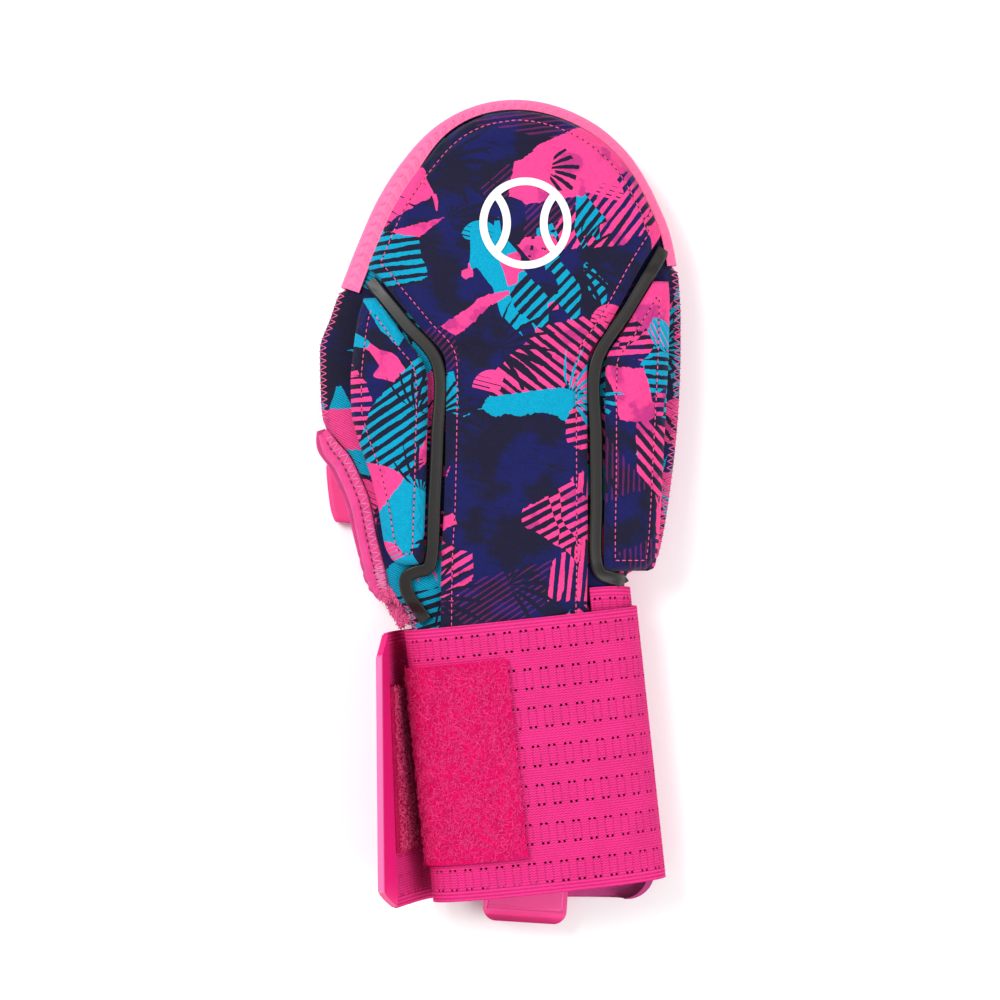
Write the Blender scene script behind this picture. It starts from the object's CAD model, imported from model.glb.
# The looks of a sliding mitt that lies palm down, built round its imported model. Shapes are worked out in
# millimetres, with y = 0 in the middle of the pocket, and are moved into the frame when a mesh is made.
import math

import bpy
import numpy as np
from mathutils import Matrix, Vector
from mathutils.bvhtree import BVHTree


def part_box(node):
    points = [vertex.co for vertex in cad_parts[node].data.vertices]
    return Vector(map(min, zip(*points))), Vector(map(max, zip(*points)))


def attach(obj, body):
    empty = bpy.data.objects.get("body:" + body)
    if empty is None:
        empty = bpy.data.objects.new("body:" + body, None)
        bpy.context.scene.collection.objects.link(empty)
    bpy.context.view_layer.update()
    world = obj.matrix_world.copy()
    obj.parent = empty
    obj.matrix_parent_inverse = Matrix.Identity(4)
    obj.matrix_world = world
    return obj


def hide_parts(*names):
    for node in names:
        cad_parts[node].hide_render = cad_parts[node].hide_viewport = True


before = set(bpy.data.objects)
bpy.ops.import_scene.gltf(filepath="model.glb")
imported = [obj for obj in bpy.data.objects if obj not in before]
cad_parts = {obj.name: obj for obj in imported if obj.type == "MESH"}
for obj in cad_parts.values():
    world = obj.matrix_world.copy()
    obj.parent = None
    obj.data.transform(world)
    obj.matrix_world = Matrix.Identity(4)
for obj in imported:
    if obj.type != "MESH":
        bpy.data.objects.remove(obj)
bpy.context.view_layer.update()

MM = 0.001

# The pocket, with the sizes of the part's source
LENGTH = 299.6  # from the tip of the rim to the cut end of the heel
HALF_WIDTH = 67.5
WRIST_WIDTH = 81
WRIST_TILT = math.radians(6.1)
SEAM_HEIGHT = 15
BACK_RISE = 15.5
BACK_WALL = 2.2
PALM_WALL = 2.4
BACK_LENGTH_SHARE = 0.975
TIP_ROUND = 26
HEEL_ROUND = 12
THUMB_RISE = 9
THUMB_DROP = 6
SLEEVE_BLEND = 9
BACK_POWER = 2.5
PALM_POWER = 3.4

# What is sewn or moulded onto it
CLEAR = 0.4
RIM_WALL = 1.8
RIM_LIP = 1.5
RIM_LIP_TIP = 4.4
RIM_LIP_THUMB = 7.6
RIM_LIP_OUTER = 3.9
RIM_LIP_PALM = 6
RIM_END_THUMB = 0.2345
RIM_END_OUTER = 0.207
PAD_HEIGHT = 6.2
PAD_EDGE = 2.6
PAD_ROUND = 5.5
PAD_STRAPPED = 3.6
TRIM_WIDTH = 5
TRIM_HEIGHT = 2.2
BINDING_WIDTH = 7.2
BINDING_HEIGHT = 3
GUARD_ROUND = 5
GUARD_WALL = 5.2
EMBLEM_RADIUS = 17
EMBLEM_LINE = 2.9
EMBLEM_HEIGHT = 0.6
EMBLEM_SEAM = 15.6
EMBLEM_SPREAD = 22.4
EMBLEM_AT = {"at": 0.159, "across": 0.139}

# The strap
STRAP_WIDTH = 102
STRAP_WALL = 1.3
STRAP_SLACK = 0.5
STRAP_CANT = 8.8
STRAP_START = 27
STRAP_TOP = {"at": 0.6484, "across": 0.108}
CURL_HEIGHT = 27
TAB_LENGTH = 15
TAB_WALL = 2.2
TAB_TAPER = 8
CURL_REACH = 7
CURL_FLARE = 10
LOOP_LENGTH = 41
LOOP_WIDTH = 74
LOOP_WALL = 1.4
HOOK_LENGTH = 18
HOOK_WIDTH = 62
HOOK_WALL = 1
PULL_WIDTH = 31.5
PULL_LENGTH = 24
PULL_REACH = 9
PULL_WALL = 1.6
PULL_SHIFT = 9.7
PULL_ROUND = 4.5
PULL_LIFT = 2

# Threads and fine relief
THREAD = 0.22  # radius
STITCH_LENGTH = 1.75
STITCH_PITCH = 2.35
STITCH_INSET = 4.1  # from a pad's edge to its row of stitches
BUNCH = ((-43.4, -33.4), (-35.4, -46.8))  # where the tape's threads end in a bunch, in plan
BUNCH_WIDTH = 5.0
BUNCH_THREADS = 640
PILE_CURLS = 3400
HOOK_CURLS = 2200
HOLE_ROWS = 14
HOLE_SIZE = 0.9
HOLE_PITCH = 6.0  # of the pairs of holes along the strap
HOLE_MARGIN = 4.3  # from the strap's edge to the first row
ROW_PITCH = (STRAP_WIDTH - 2 * HOLE_MARGIN) / (HOLE_ROWS - 1)


def table(columns, *rows):
    return [dict(zip(columns.split(), row)) for row in rows]


# The outline of the hand, in shares of LENGTH from the tip, of HALF_WIDTH and of BACK_RISE
HAND = table(
    "at thumb outer rise",
    (0, -0.083, 0.083, 0.62),
    (0.0125, 0.194, 0.37, 0.64),
    (0.0375, 0.378, 0.572, 0.68),
    (0.075, 0.533, 0.738, 0.73),
    (0.125, 0.678, 0.867, 0.8),
    (0.175, 0.778, 0.953, 0.86),
    (0.232, 0.878, 0.994, 0.92),
    (0.275, 0.944, 1.003, 0.96),
    (0.313, 1, 1.003, 0.98),
    (0.376, 0.994, 0.994, 1),
    (0.412, 0.978, 0.983, 1),
    (0.5, 0.95, 0.937, 0.98),
    (0.576, 0.85, 0.872, 0.9),
    (0.601, 0.76, 0.811, 0.83),
    (0.62, 0.66, 0.75, 0.8),
    (1, 0.4, 0.735, 0.775),
)
# Where the two shells end at the thumb hole, and how far it is open
THUMB_HOLE = table(
    "at back palm open",
    (0.405, 0.978, 0.975, 0),
    (0.428, 0.893, 0.94, 0.42),
    (0.446, 0.824, 0.884, 0.7),
    (0.468, 0.774, 0.838, 0.9),
    (0.5, 0.717, 0.776, 1),
    (0.548, 0.672, 0.722, 1),
    (0.585, 0.635, 0.678, 0.75),
    (0.612, 0.612, 0.645, 0.4),
    (0.64, 0.572, 0.575, 0),
)
HOLE_TOP, HOLE_END = THUMB_HOLE[0]["at"], THUMB_HOLE[-1]["at"]
# The side edges of the pads and of the ground plate
CENTRE_PAD = table(
    "at thumb outer",
    (0.172, 1.2, 0.887),
    (0.2165, 0.705, 0.763),
    (0.251, 0.572, 0.68),
    (0.289, 0.431, 0.583),
    (0.326, 0.301, 0.483),
    (0.345, 0.294, 0.478),
    (0.5, 0.305, 0.481),
    (0.576, 0.322, 0.482),
    (0.651, 0.327, 0.478),
    (0.826, 0.25, 0.556),
)
THUMB_PAD = table(
    "at thumb outer",
    (0.25, 0.75, -0.683),
    (0.275, 0.783, -0.6),
    (0.3, 0.8, -0.522),
    (0.33, 0.815, -0.421),
    (0.35, 0.822, -0.4),
    (0.388, 0.82, -0.397),
    (0.413, 0.797, -0.4),
    (0.438, 0.763, -0.403),
    (0.469, 0.713, -0.406),
    (0.513, 0.668, -0.412),
    (0.557, 0.634, -0.419),
    (0.581, 0.578, -0.422),
)
OUTER_PAD = table(
    "at thumb outer",
    (0.229, -0.847, 0.929),
    (0.25, -0.79, 0.936),
    (0.288, -0.69, 0.934),
    (0.331, -0.582, 0.928),
    (0.376, -0.578, 0.919),
    (0.438, -0.578, 0.904),
    (0.5, -0.575, 0.891),
    (0.55, -0.572, 0.878),
    (0.589, -0.572, 0.858),
)
GUARD = table(
    "at thumb outer",
    (0.055, 0.33, 0.5),
    (0.075, 0.42, 0.6),
    (0.125, 0.56, 0.72),
    (0.2, 0.68, 0.8),
    (0.3, 0.8, 0.82),
    (0.4, 0.8, 0.81),
    (0.45, 0.8, 0.79),
    (0.456, 0.972, 0.788),
    (0.5, 0.956, 0.775),
    (0.528, 0.922, 0.76),
    (0.533, 0.72, 0.755),
    (0.604, 0.55, 0.66),
)
# The middle lines of the two moulded strips
THUMB_TRIM = table(
    "at across",
    (0.228, -0.716),
    (0.28, -0.527),
    (0.331, -0.345),
    (0.425, -0.344),
    (0.5, -0.36),
    (0.572, -0.378),
    (0.5855, -0.4),
    (0.5895, -0.46),
    (0.596, -0.512),
    (0.612, -0.516),
    (0.632, -0.468),
    (0.65, -0.41),
)
OUTER_TRIM = table(
    "at across",
    (0.188, 0.907),
    (0.26, 0.72),
    (0.331, 0.53),
    (0.425, 0.528),
    (0.5, 0.53),
    (0.577, 0.531),
    (0.592, 0.558),
    (0.597, 0.61),
    (0.601, 0.667),
    (0.609, 0.69),
)
# The overlocked stretches of the side seams, in millimetres from the tip
OVERLOCK = table(
    "side start end pitch reach",
    ("thumb", 71.5, 119, 2.4, 2.8),
    ("outer", 63.5, 172, 2.4, 2.8),
    ("thumb", 188, 199, 2.0, 2.4),
)

# From the middle of the pocket to the frame's origin
SHIFT = np.array([
    1000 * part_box("back_shell")[1][0] - max(row["outer"] for row in HAND) * HALF_WIDTH,
    1000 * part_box("rim")[1][1] - LENGTH / 2,
    0,
])


def lerp(low, high, share):
    return low + (high - low) * share


def smooth(value, low, high):
    share = np.clip((value - low) / (high - low), 0, 1)
    return share * share * (3 - 2 * share)


def sampled(grid, row, column):
    """Points between the points of a grid."""
    r = np.clip(np.floor(row).astype(int), 0, grid.shape[0] - 2)
    c = np.clip(np.floor(column).astype(int), 0, grid.shape[1] - 2)
    down, across = (row - r)[:, None], (column - c)[:, None]
    upper = lerp(grid[r, c], grid[r, c + 1], across)
    lower = lerp(grid[r + 1, c], grid[r + 1, c + 1], across)
    return lerp(upper, lower, down)


def eased(low, high, leave, arrive, t):
    """Between two values on a curve with a slope at each end."""
    rest = 1 - t
    ends = low * (1 + 2 * t) * rest**2 + high * (3 - 2 * t) * t**2
    return ends + t * rest * (leave * rest - arrive * t)


def curve_through(rows, column):
    """A smooth curve through one column, which runs on the root of the share and so rounds the tip."""
    x = np.sqrt([row["at"] for row in rows])
    y = np.array([row[column] for row in rows], float)
    slopes = np.diff(y) / np.diff(x)
    before, after = np.append(slopes[0], slopes), np.append(slopes, slopes[-1])
    both = before * after > 0
    tangents = np.where(both, 2 * before * after / np.where(both, before + after, 1), 0)

    def value(share):
        root = np.clip(np.sqrt(np.maximum(0, share)), x[0], x[-1])
        i = np.clip(np.searchsorted(x, root, side="right") - 1, 0, len(slopes) - 1)
        span = x[i + 1] - x[i]
        return eased(y[i], y[i + 1], span * tangents[i], span * tangents[i + 1], (root - x[i]) / span)

    return value


hand_edge = {side: curve_through(HAND, side) for side in ("thumb", "outer")}
rise_share = curve_through(HAND, "rise")
hole_edge = {part: curve_through(THUMB_HOLE, part) for part in ("back", "palm")}
hole_open = curve_through(THUMB_HOLE, "open")
pad_edge = {side: curve_through(CENTRE_PAD, side) for side in ("thumb", "outer")}

STRAP_TOP_DOWN = STRAP_TOP["at"] * LENGTH
STRAP_CORNER_DOWN = STRAP_TOP_DOWN - STRAP_CANT - WRIST_WIDTH / 2 * math.sin(WRIST_TILT)
SLEEVE_HALF = WRIST_WIDTH / 2 / math.cos(WRIST_TILT)
SHELL_TIP = RIM_WALL + CLEAR
TURN = STRAP_WALL + STRAP_SLACK
FIRST_OFFSET = CLEAR + STRAP_WALL / 2
START_ANGLE = math.acos((STRAP_START / (WRIST_WIDTH / 2 + FIRST_OFFSET)) ** (BACK_POWER / 2))
LAST_ANGLE = -2.5 * math.pi


def offset_at(angle):
    return FIRST_OFFSET + TURN * (START_ANGLE - angle) / (2 * math.pi)


SOLE_LIFT = offset_at(LAST_ANGLE) + STRAP_WALL / 2


def y_of(down):
    return LENGTH / 2 - down


def sleeve_middle(down):
    return STRAP_TOP["across"] * HALF_WIDTH + (down - STRAP_TOP_DOWN) * math.tan(WRIST_TILT)


def outline_x(side, down, inset=0.0):
    """The x of an outer edge, inset evenly round the fingertip."""
    sign = -1 if side == "thumb" else 1
    cap = RIM_END_THUMB * LENGTH
    shifted = np.where(down < cap, np.maximum(0, (down - inset) * cap / (cap - inset)), down)
    hand = sign * hand_edge[side](shifted / LENGTH) * HALF_WIDTH
    tip_x = HAND[0]["outer"] * HALF_WIDTH
    inner = tip_x + (hand - tip_x) * (HALF_WIDTH - inset) / HALF_WIDTH
    sleeve = sleeve_middle(down) + sign * (SLEEVE_HALF - inset)
    end = (STRAP_CORNER_DOWN if side == "outer" else STRAP_TOP_DOWN) - 3 * CLEAR
    return lerp(inner, sleeve, smooth(down, end - SLEEVE_BLEND, end))


def rim_inset(side, down):
    end = (RIM_END_THUMB if side == "thumb" else RIM_END_OUTER) * LENGTH
    return (RIM_WALL + CLEAR) * (1 - smooth(down, end, end + 2.2 * RIM_WALL))


def shell_x(part, side, down):
    """The edge of one shell, which turns inwards at the thumb hole."""
    edge = outline_x(side, down, rim_inset(side, down))
    if side == "outer":
        return edge
    share = down / LENGTH
    past_hole = (share < HOLE_TOP) | (share > HOLE_END)
    return np.where(past_hole, edge, np.maximum(edge, -hole_edge[part](share) * HALF_WIDTH))


def open_share(down):
    share = down / LENGTH
    return np.where((share < HOLE_TOP) | (share > HOLE_END), 0, hole_open(share))


def tip_blunt(down):
    share = np.clip(1 - (down - SHELL_TIP) / TIP_ROUND, 0, 1)
    return (1 - share**BACK_POWER) ** (1 / BACK_POWER)


def back_height(down):
    return BACK_RISE * rise_share(down / LENGTH) * tip_blunt(down)


def palm_depth(down):
    return (SEAM_HEIGHT - SOLE_LIFT) * tip_blunt(down)


def shell_point(part, u, down, wall=0.0):
    """A point of a shell: u runs from -1 at the thumb side to 1, and wall is measured inwards."""
    back = part == "back"
    left = shell_x(part, "thumb", down) + wall
    right = shell_x(part, "outer", down) - wall
    power = BACK_POWER if back else PALM_POWER
    arch = np.maximum(0, 1 - np.abs(u) ** power) ** (1 / power)
    lift = (THUMB_RISE if back else -THUMB_DROP) * open_share(down)
    level = SEAM_HEIGHT + (CLEAR / 2 if back else -CLEAR / 2)
    height = np.maximum(0.02, (back_height(down) if back else palm_depth(down)) - wall)
    crown = level + (height if back else -height)
    x = lerp(left, right, (1 + u) / 2)
    z = lerp(level + lift * (1 - u) / 2, crown, arch)
    return np.stack(np.broadcast_arrays(x, y_of(down), z), axis=-1)


def shell_z(part, x, y):
    """The outer face of a shell above or below a point of the plan."""
    down = LENGTH / 2 - y
    left = shell_x(part, "thumb", down)
    right = shell_x(part, "outer", down)
    u = np.clip(2 * (x - left) / (right - left) - 1, -1, 1)
    return shell_point(part, u, down)[..., 2]


def put(points):
    """Points in millimetres, moved into the frame."""
    return (np.asarray(points, float) + SHIFT) * MM


def new_piece(name, vertices, faces, uv=None):
    """A mesh of points in millimetres and faces of their numbers, with places on the cloth."""
    mesh = bpy.data.meshes.new(name)
    mesh.from_pydata(put(vertices).tolist(), [], faces)
    if uv is not None:
        layer = mesh.uv_layers.new(name="cloth")
        corners = np.empty(len(mesh.loops), int)
        mesh.loops.foreach_get("vertex_index", corners)
        layer.data.foreach_set("uv", (np.asarray(uv, float)[corners] * MM).ravel())
    piece = bpy.data.objects.new(name, mesh)
    bpy.context.scene.collection.objects.link(piece)
    return piece


def quads(rows, columns, start=0):
    """The faces of a grid of points, which point up where rows run down the mitt and columns across it."""
    number = start + np.arange(rows * columns).reshape(rows, columns)
    corners = (number[:-1, :-1], number[1:, :-1], number[1:, 1:], number[:-1, 1:])
    return np.stack(corners, axis=-1).reshape(-1, 4)


def slab(name, upper, lower, uv=None):
    """The closed piece between two grids of points."""
    rows, columns = upper.shape[:2]
    count = rows * columns
    top = np.arange(count).reshape(rows, columns)
    under = top + count
    border = np.concatenate([top[0, :-1], top[:-1, -1], top[-1, :0:-1], top[:0:-1, 0]])
    after = np.roll(border, -1)
    wall = np.stack([border, after, after + count, border + count], axis=-1)
    faces = np.concatenate([quads(rows, columns), quads(rows, columns, count)[:, ::-1], wall])
    points = np.concatenate([upper.reshape(-1, 3), lower.reshape(-1, 3)])
    places = None if uv is None else np.concatenate([uv.reshape(-1, 2)] * 2)
    return new_piece(name, points, faces.tolist(), places)


def select_only(piece):
    bpy.ops.object.select_all(action="DESELECT")
    piece.select_set(True)
    bpy.context.view_layer.objects.active = piece


def soften(piece, degrees=40):
    """Rounds the shading, apart from edges sharper than an angle."""
    select_only(piece)
    bpy.ops.object.shade_smooth_by_angle(angle=math.radians(degrees))
    return piece


def modified(piece, kind, **settings):
    """A modifier on the piece, applied at once."""
    select_only(piece)
    modifier = piece.modifiers.new(kind, kind)
    for key, value in settings.items():
        setattr(modifier, key, value)
    bpy.ops.object.modifier_apply(modifier=modifier.name)
    return piece


def rolled(name, rings):
    """A moulded length through closed rings of points: a grid that is rolled up and closed at its ends."""
    rows, columns = rings.shape[:2]
    bpy.ops.mesh.primitive_grid_add(x_subdivisions=columns, y_subdivisions=rows - 1)
    piece = bpy.context.object
    piece.name = piece.data.name = name
    wrapped = np.concatenate([rings, rings[:, :1]], axis=1)
    piece.data.vertices.foreach_set("co", put(wrapped).ravel())
    bpy.ops.object.mode_set(mode="EDIT")
    bpy.ops.mesh.select_all(action="SELECT")
    bpy.ops.mesh.remove_doubles(threshold=0.000001)
    bpy.ops.mesh.select_all(action="DESELECT")
    bpy.ops.mesh.select_non_manifold()
    bpy.ops.mesh.fill_holes(sides=0)
    bpy.ops.mesh.select_all(action="SELECT")
    bpy.ops.mesh.normals_make_consistent(inside=False)
    bpy.ops.object.mode_set(mode="OBJECT")
    return soften(piece)


def rounded(rings, times=2):
    """Rings of corners with each corner cut back again and again, which rounds them."""
    for _ in range(times):
        after = np.roll(rings, -1, axis=1)
        rings = np.stack([lerp(rings, after, 0.25), lerp(rings, after, 0.75)], axis=2)
        rings = rings.reshape(rings.shape[0], -1, rings.shape[-1])
    return rings


def across_steps(count):
    return -np.cos(np.linspace(0, math.pi, count + 1))


def tip_steps(count, low, high):
    return np.linspace(math.sqrt(low), math.sqrt(high), count + 1) ** 2


def lengths_along(points):
    gaps = np.linalg.norm(np.diff(points, axis=0), axis=1)
    return np.concatenate([[0], np.cumsum(gaps)])


def evenly(points, step):
    """The points of a line, moved to even steps along it."""
    along = lengths_along(points)
    count = max(2, round(along[-1] / step))
    places = np.linspace(0, along[-1], count + 1)
    return np.stack([np.interp(places, along, points[:, i]) for i in range(points.shape[1])], axis=-1)


def directions(points):
    ahead = np.gradient(points, axis=0)
    return ahead / np.linalg.norm(ahead, axis=1, keepdims=True)


def right_of(line):
    """The directions to the right of a line of the plan."""
    ahead = directions(line)
    return np.stack([ahead[:, 1], -ahead[:, 0]], axis=-1)


def beside(line, side, reach):
    """Points of the plan at a reach to the side of each point of a line."""
    return line[:, None] + side[:, None] * reach[..., None]


def at_height(plan, height):
    return np.concatenate([plan, height[..., None]], axis=-1)


def closed(line):
    return np.concatenate([line, line[:1]])


def waves(x, y, length):
    """Uneven ripples from -1 to 1, the same each time."""
    a, b = 2 * math.pi * x / length, 2 * math.pi * y / length
    mixed = np.sin(a + 1.7 * np.sin(0.61 * b)) + np.sin(0.73 * b + 1.3 * np.sin(0.83 * a) + 2)
    return 0.4 * mixed + 0.2 * np.sin(1.9 * a - 1.3 * b + 1)


def heel_inset(down):
    into = np.maximum(0, down - (LENGTH - HEEL_ROUND)) / HEEL_ROUND
    return HEEL_ROUND * (1 - np.sqrt(np.maximum(0, 1 - 0.98 * into**2)))


def shell_grid(part, wall):
    """One face of a shell, with the soft ripples of its cloth where nothing lies on it."""
    end = LENGTH * (BACK_LENGTH_SHARE if part == "back" else 1)
    round_tip = tip_steps(24, SHELL_TIP + 0.4, 50)
    down = np.concatenate([round_tip[:-1], np.linspace(50, LENGTH - HEEL_ROUND, 150)])
    heel = LENGTH - HEEL_ROUND * (1 - np.sin(np.linspace(0, math.pi / 2, 12)))
    down = np.concatenate([down, heel[1:]])
    down = down[down < end - 0.5] if part == "back" else down
    down = np.append(down, end) if part == "back" else down
    u = across_steps(84)[None, :]
    points = shell_point(part, u, down[:, None], wall)
    if part == "palm":
        points[..., 0] -= u * heel_inset(down)[:, None]
    points[..., 1] -= wall * smooth(0.4 * LENGTH - down, 0, 0.4 * LENGTH)[:, None]
    loose = smooth(down, 72, 90) * (1 - smooth(down, 180, 190))
    loose = smooth(np.abs(u), 0.8, 0.97) * loose[:, None]
    ripple = 0.3 * waves(points[..., 0], 2.2 * points[..., 1], 21) * loose
    points[..., 2] += ripple if part == "back" else 0
    return points


def shell(part, wall):
    outside, inside = shell_grid(part, 0.0), shell_grid(part, wall)
    upper, lower = (outside, inside) if part == "back" else (inside, outside)
    return soften(slab(f"{part}_cloth", upper, lower), 60)


def lip_reach(root, down):
    far = np.where(root < 0, RIM_LIP_THUMB, RIM_LIP_OUTER)
    return lerp(RIM_LIP_TIP, far, smooth(down, 0, 0.09 * LENGTH))


def rim_line():
    """The outline round the fingertip in even steps: points, inward directions and the lip's reach."""
    thumb, outer = math.sqrt(RIM_END_THUMB * LENGTH), math.sqrt(RIM_END_OUTER * LENGTH)
    root = np.linspace(-thumb, outer, 900)
    down = root**2
    x = np.where(root < 0, outline_x("thumb", down), outline_x("outer", down))
    packed = evenly(np.stack([x, y_of(down), root], axis=-1), 0.42)
    line, root = packed[:, :2], packed[:, 2]
    return line, right_of(line), lip_reach(root, root**2)


def tread(along, across):
    """The height of the rim's raised chevrons: across runs from 0 to 1 over the lip."""
    beat = along / 4.2 + 0.6 * np.abs(2 * across - 1)
    ridge = 1 - smooth(np.abs(beat % 1 - 0.5), 0.05, 0.17)
    second = 1 - smooth(np.abs((beat + 0.36) % 1 - 0.5), 0.03, 0.15)
    broken = smooth(np.abs(across - 0.5), 0.02, 0.07)
    inside = smooth(across, 0.1, 0.16) * (1 - smooth(across, 0.82, 0.88))
    return 0.4 * (ridge + 0.7 * second * (across > 0.5)) * inside * broken


def rim():
    """The moulded channel round the fingertip, with its raised tread."""
    line, inward, reach = rim_line()
    reach = reach[:, None]

    def face(part, depth):
        at = beside(line, inward, depth)
        return shell_z(part, at[..., 0], at[..., 1])

    def over(depth, height):
        return depth, face("back", depth) + height

    def under(depth, height):
        return depth, face("palm", depth) - height

    whole = np.zeros_like(reach)
    shoulder = 0.45 * (RIM_WALL + reach)
    upper = CLEAR + RIM_LIP
    crown = np.minimum(face("back", shoulder), face("back", reach)) + upper
    floor = np.maximum(face("palm", shoulder), face("palm", whole + RIM_LIP_PALM)) - upper
    palm_end, palm_low = under(whole + RIM_LIP_PALM, upper)
    bends = [
        over(reach - 0.25, upper),
        over(lerp(RIM_WALL, reach, 0.75), upper),
        over(lerp(RIM_WALL, reach, 0.5), 1.12 * upper),
        (whole + RIM_WALL, crown),
    ]
    spans = [(bends[i], bends[i + 1], step / 3) for i in range(3) for step in range(3)]
    fine = [tuple(lerp(a, b, share) for a, b in zip(start, end)) for start, end, share in spans]
    corners = [
        over(reach, CLEAR),
        over(reach, 0.7 * upper),
        *fine,
        bends[-1],
        (whole + 0.35 * RIM_WALL, lerp(SEAM_HEIGHT, crown, 0.85)),
        (whole, lerp(SEAM_HEIGHT, crown, 0.55)),
        (whole, lerp(SEAM_HEIGHT, floor, 0.6)),
        (whole + 0.3 * RIM_WALL, floor),
        (palm_end, np.maximum(CLEAR, palm_low)),
        under(palm_end, CLEAR),
        under(whole + 0.6 * RIM_LIP_PALM, CLEAR),
        under(whole + RIM_WALL + 0.8, CLEAR),
        (whole + RIM_WALL, whole + SEAM_HEIGHT),
        over(whole + RIM_WALL + 0.8, CLEAR),
        over(0.6 * reach + 0.8, CLEAR),
    ]
    section = rounded(np.stack([np.concatenate(pair, axis=1) for pair in corners], axis=1))
    depth, height = section[..., 0], section[..., 1]
    share = depth / reach
    on_top = height > face("back", depth) + 0.6 * upper
    along = lengths_along(line)[:, None]
    height = height + np.where(on_top, tread(along, share), 0)
    return rolled("rim_channel", at_height(beside(line, inward, depth), height))


def inset_line(outline, distance):
    """A closed line that runs inside an outline at a distance, with crossed corners left out."""
    line = evenly(closed(outline), 0.5)[:-1]
    ahead = np.roll(line, -1, axis=0) - np.roll(line, 1, axis=0)
    ahead /= np.linalg.norm(ahead, axis=1, keepdims=True)
    inner = line + distance * np.stack([-ahead[:, 1], ahead[:, 0]], axis=-1)
    gaps = np.linalg.norm(inner[:, None] - line[None], axis=2).min(axis=1)
    return inner[gaps > distance - 0.08]


def distance_to(points, line):
    """How far each point lies from a closed line of close points."""
    chunks = np.array_split(points.reshape(-1, 2), 24)
    parts = [np.linalg.norm(chunk[:, None] - line[None], axis=2).min(axis=1) for chunk in chunks]
    return np.concatenate(parts).reshape(points.shape[:-1])


# The cloth simulation of the pads
FILL_PRESSURE = 4.0
CLOTH_SLACK = 0.02
SWELL_STEPS = 20
SWELL_CAP = 1.3


class Pad:
    """A padded panel: where its edges are, how high it stands, and the row of stitches round it."""

    def __init__(self, name, left, right, start, end, full, corner):
        self.name, self.left, self.right, self.full = name, left, right, full
        self.start, self.end, self.corner = start, end, corner
        down = np.linspace(start, end, 500)
        west, east = self.edges(down)
        sides = [np.stack([x, y_of(down)], axis=-1) for x in (west, east)]
        self.outline = np.concatenate([sides[0], sides[1][::-1]])
        self.seam = inset_line(self.outline, STITCH_INSET)

    def edges(self, down):
        """The two side edges, drawn in round the corners of the lower end."""
        into = np.maximum(0, down - self.end + self.corner)
        inset = self.corner - np.sqrt(np.maximum(0, self.corner**2 - into**2))
        return self.left(down) + inset, self.right(down) - inset

    def top(self, down, columns):
        west, east = self.edges(down)
        share = (across_steps(columns)[None, :] + 1) / 2
        even = np.linspace(0, 1, columns + 1)[None, :]
        x = lerp(west[:, None], east[:, None], 0.35 * share + 0.65 * even)
        y = np.broadcast_to(y_of(down)[:, None], x.shape)
        plan = np.stack([x, y], axis=-1)
        edge, seam = self.off_lines(plan)
        rest = 1 - np.clip(edge / PAD_ROUND, 0, 1)
        base = shell_z("back", x, y) + CLEAR
        height = PAD_EDGE - 0.9 + (self.full(down)[:, None] - PAD_EDGE + 0.9) * np.sqrt(1 - rest**2)
        groove = 0.75 * np.exp(-((seam / 0.75) ** 2))
        ripple = 0.12 * waves(x, y, 17) + 0.05 * waves(y, x, 6.3)
        puff = 0.35 * smooth(edge, STITCH_INSET, STITCH_INSET + 6)
        return np.stack([x, y, base + height - groove + puff + ripple * smooth(edge, 0, 3)], axis=-1), base

    def off_lines(self, plan):
        """How far points are from the panel's edge and from its stitches, seen from above."""
        return [distance_to(plan, evenly(closed(line), 0.4)) for line in (self.outline, self.seam)]

    def swell(self, down, columns):
        """How the filling pushes up the cloth between its edge and its stitches, by cloth simulation."""
        rows, wide = len(down) // 2, columns // 2
        coarse = np.interp(np.linspace(0, len(down) - 1, rows), np.arange(len(down)), down)
        upper = self.top(coarse, wide)[0]
        edge, seam = self.off_lines(upper[..., :2])
        cloth = new_piece(f"{self.name}_cloth", upper.reshape(-1, 3), quads(rows, wide + 1).tolist())
        held = cloth.vertex_groups.new(name="held")
        held.add(np.flatnonzero((edge < 1.0) | (seam < 1.0)).tolist(), 1.0, "REPLACE")
        settings = cloth.modifiers.new("cloth", "CLOTH").settings
        settings.vertex_group_mass = held.name
        settings.use_pressure = True
        settings.uniform_pressure_force = FILL_PRESSURE
        settings.shrink_min = -CLOTH_SLACK
        settings.effector_weights.gravity = 0
        for step in range(1, SWELL_STEPS + 1):
            bpy.context.scene.frame_set(step)
        places = np.empty(upper.size)
        blown = cloth.evaluated_get(bpy.context.evaluated_depsgraph_get()).to_mesh()
        blown.vertices.foreach_get("co", places)
        moved = (places.reshape(-1, 3) - put(upper.reshape(-1, 3))) / MM
        bpy.context.scene.frame_set(1)
        bpy.data.objects.remove(cloth)
        far = np.linalg.norm(moved, axis=1, keepdims=True)
        moved = (moved * np.minimum(1, SWELL_CAP / np.maximum(far, 1e-6))).reshape(upper.shape)
        row, column = np.linspace(0, rows - 1, len(down)), np.linspace(0, wide, columns + 1)
        row, column = np.meshgrid(row, column, indexing="ij")
        return sampled(moved, row.ravel(), column.ravel()).reshape(len(down), columns + 1, 3)

    def build(self, down, columns):
        upper, base = self.top(down, columns)
        upper = upper + self.swell(down, columns)
        return soften(slab(self.name, upper, at_height(upper[..., :2], base)), 55)


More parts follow.
